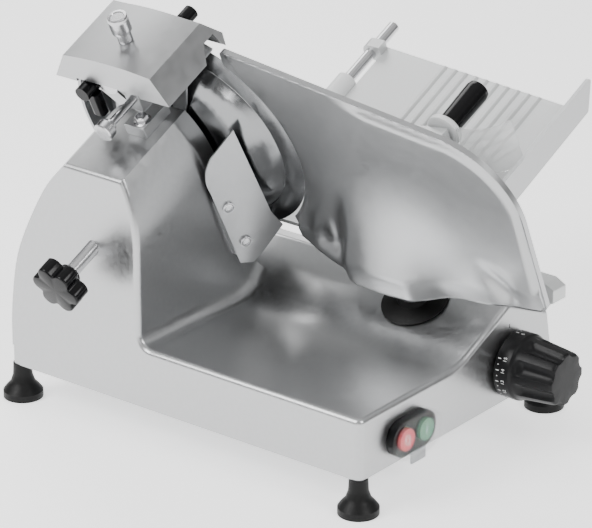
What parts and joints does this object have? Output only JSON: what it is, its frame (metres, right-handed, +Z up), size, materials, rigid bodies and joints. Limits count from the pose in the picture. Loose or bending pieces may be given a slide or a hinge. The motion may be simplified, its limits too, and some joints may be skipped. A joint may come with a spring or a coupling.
{
  "type": "deli meat slicer",
  "caption": "Gravity-feed deli slicer: tilted round blade on a cast body, sliding gauge plate, ribbed product tray with pusher, lift-off sharpener.",
  "frame": {"origin": "on the worktop, in the middle of the four feet", "axes": "+X toward the operator's right, the carriage side; +Y away from the operator; +Z up"},
  "size_m": [0.5352, 0.5224, 0.4188],
  "materials": {
    "black_plastic": "moulded",
    "blade_steel": "ground",
    "board": "lacquered board",
    "bright_steel": "polished",
    "cast_aluminium": "satin anodised casting",
    "clear_plastic": "clear moulded",
    "dark_steel": "oiled",
    "gloss_black": "polished",
    "green_button": "moulded",
    "light_aluminium": "bead blasted",
    "motor_paint": "semi-gloss",
    "plate_aluminium": "brushed and anodised",
    "red_button": "moulded",
    "rubber": "matte",
    "sheet_aluminium": "mill finish",
    "stone": "bonded grit",
    "white_plastic": "moulded"
  },
  "bodies": {
    "base": {"base_housing": "cast_aluminium", "bottom_cover": "sheet_aluminium", "feet": "rubber", "foot_studs": "bright_steel", "cable_gland": "black_plastic", "control_board": "board", "run_capacitor": "white_plastic", "mounting_plate": "dark_steel", "bearing_housing": "cast_aluminium", "bearings": "bright_steel", "motor_body": "motor_paint", "drive_belt": "rubber", "ring_guard": "plate_aluminium", "deflector_plate": "plate_aluminium", "deflector_screws": "bright_steel", "sharpener_bracket": "plate_aluminium", "bracket_screw": "bright_steel", "guide_bar": "bright_steel", "guide_brackets": "cast_aluminium", "slide_rail": "bright_steel", "switch_housing": "gloss_black", "switch_cover": "clear_plastic"},
    "blade_unit": {"blade": "blade_steel", "blade_shaft": "dark_steel", "blade_pulley": "sheet_aluminium", "blade_screws": "bright_steel"},
    "rotor": {"motor_pulley": "dark_steel"},
    "cover_unit": {"blade_cover": "plate_aluminium", "tie_rod": "bright_steel"},
    "cover_knob": {"star_knob": "gloss_black"},
    "sharpener": {"sharpener_body": "plate_aluminium", "sharpener_cover": "plate_aluminium"},
    "sharpener_knob": {"top_knob": "bright_steel"},
    "sharpener_clamp": {"side_screw": "bright_steel"},
    "sharpener_lever": {"lock_lever": "gloss_black"},
    "grinder": {"stone_shaft": "bright_steel", "grinding_stone": "stone"},
    "deburrer": {"deburring_stone": "stone", "deburr_knob": "gloss_black"},
    "gauge": {"gauge_plate": "plate_aluminium", "gauge_foot": "plate_aluminium", "gauge_post": "bright_steel", "gauge_boot": "rubber", "gauge_slide": "cast_aluminium"},
    "thickness_dial": {"thickness_knob": "black_plastic", "knob_spindle": "dark_steel"},
    "stop": {"stop_button": "red_button"},
    "start": {"start_button": "green_button"},
    "carriage": {"carriage_block": "cast_aluminium", "carriage_arm": "light_aluminium", "product_tray": "light_aluminium", "end_fence": "plate_aluminium", "pusher_rod": "bright_steel"},
    "tray_lock": {"tray_lock_knob": "gloss_black"},
    "sleeve": {"pusher_sleeve": "white_plastic"},
    "pusher": {"pusher_arm": "light_aluminium", "pusher_plate": "light_aluminium", "handle_collar": "white_plastic", "pusher_handle": "gloss_black", "finger_guard": "clear_plastic"}
  },
  "joints": [
    {"name": "blade_spin", "type": "hinge", "parent": "base", "child": "blade_unit", "pos_m": [0, 0.106, 0.262], "axis": [0.9063, 0, 0.4226], "continuous": true},
    {"name": "motor_spin", "type": "hinge", "parent": "base", "child": "rotor", "pos_m": [0.04987, 0.146, 0.15506], "axis": [0.9063, 0, 0.4226], "continuous": true},
    {"name": "cover_pull", "type": "slide", "parent": "base", "child": "cover_unit", "axis": [0.9063, 0, 0.4226], "range_m": [0, 0.012]},
    {"name": "cover_knob_turn", "type": "hinge", "parent": "cover_unit", "child": "cover_knob", "pos_m": [0, 0.106, 0.262], "axis": [0.9063, 0, 0.4226], "range_deg": [0, 1080]},
    {"name": "sharpener_lift", "type": "slide", "parent": "base", "child": "sharpener", "axis": [-0.4226, 0, 0.9063], "range_m": [0, 0.03]},
    {"name": "sharpener_knob_turn", "type": "hinge", "parent": "sharpener", "child": "sharpener_knob", "pos_m": [-0.0426, 0.1, 0.24214], "axis": [-0.4226, 0, 0.9063], "range_deg": [0, 720]},
    {"name": "sharpener_clamp_turn", "type": "hinge", "parent": "base", "child": "sharpener_clamp", "pos_m": [-0.04184, 0.101, 0.35172], "axis": [0.9063, 0, 0.4226], "range_deg": [0, 720]},
    {"name": "lever_turn", "type": "hinge", "parent": "sharpener", "child": "sharpener_lever", "pos_m": [-0.04987, 0.137, 0.36894], "axis": [0.9063, 0, 0.4226], "range_deg": [0, 60]},
    {"name": "grinder_press", "type": "slide", "parent": "sharpener", "child": "grinder", "axis": [0.9063, 0, 0.4226], "range_m": [0, 0.004], "stiffness_N_per_m": 400},
    {"name": "deburrer_press", "type": "slide", "parent": "sharpener", "child": "deburrer", "axis": [-0.9063, 0, -0.4226], "range_m": [0, 0.0012], "stiffness_N_per_m": 400},
    {"name": "gauge_open", "type": "slide", "parent": "base", "child": "gauge", "axis": [0.9063, 0, 0.4226], "range_m": [-0.013, 0]},
    {"name": "thickness_turn", "type": "hinge", "parent": "base", "child": "thickness_dial", "pos_m": [0.08, 0, 0.074], "axis": [0, 1, 0], "range_deg": [-300, 0]},
    {"name": "stop_press", "type": "slide", "parent": "base", "child": "stop", "axis": [0, 1, 0], "range_m": [0, 0.003], "stiffness_N_per_m": 300},
    {"name": "start_press", "type": "slide", "parent": "base", "child": "start", "axis": [0, 1, 0], "range_m": [0, 0.003], "stiffness_N_per_m": 300},
    {"name": "carriage_travel", "type": "slide", "parent": "base", "child": "carriage", "axis": [0, 1, 0], "range_m": [-0.11, 0.13]},
    {"name": "tray_lock_turn", "type": "hinge", "parent": "carriage", "child": "tray_lock", "pos_m": [0.2044, 0, 0.165], "axis": [1, 0, 0], "range_deg": [0, 720]},
    {"name": "sleeve_slide", "type": "slide", "parent": "carriage", "child": "sleeve", "axis": [0.9063, 0, 0.4226], "range_m": [-0.07, 0.04]},
    {"name": "pusher_swing", "type": "hinge", "parent": "sleeve", "child": "pusher", "pos_m": [0.04649, 0.098, 0.16231], "axis": [0.9063, 0, 0.4226], "range_deg": [-100, 0]}
  ],
  "couplings": [
    {"joint": "motor_spin", "follows": "blade_spin", "ratio": 2},
    {"joint": "gauge_open", "follows": "thickness_turn", "m_per_rad": 0.0024828}
  ]
}
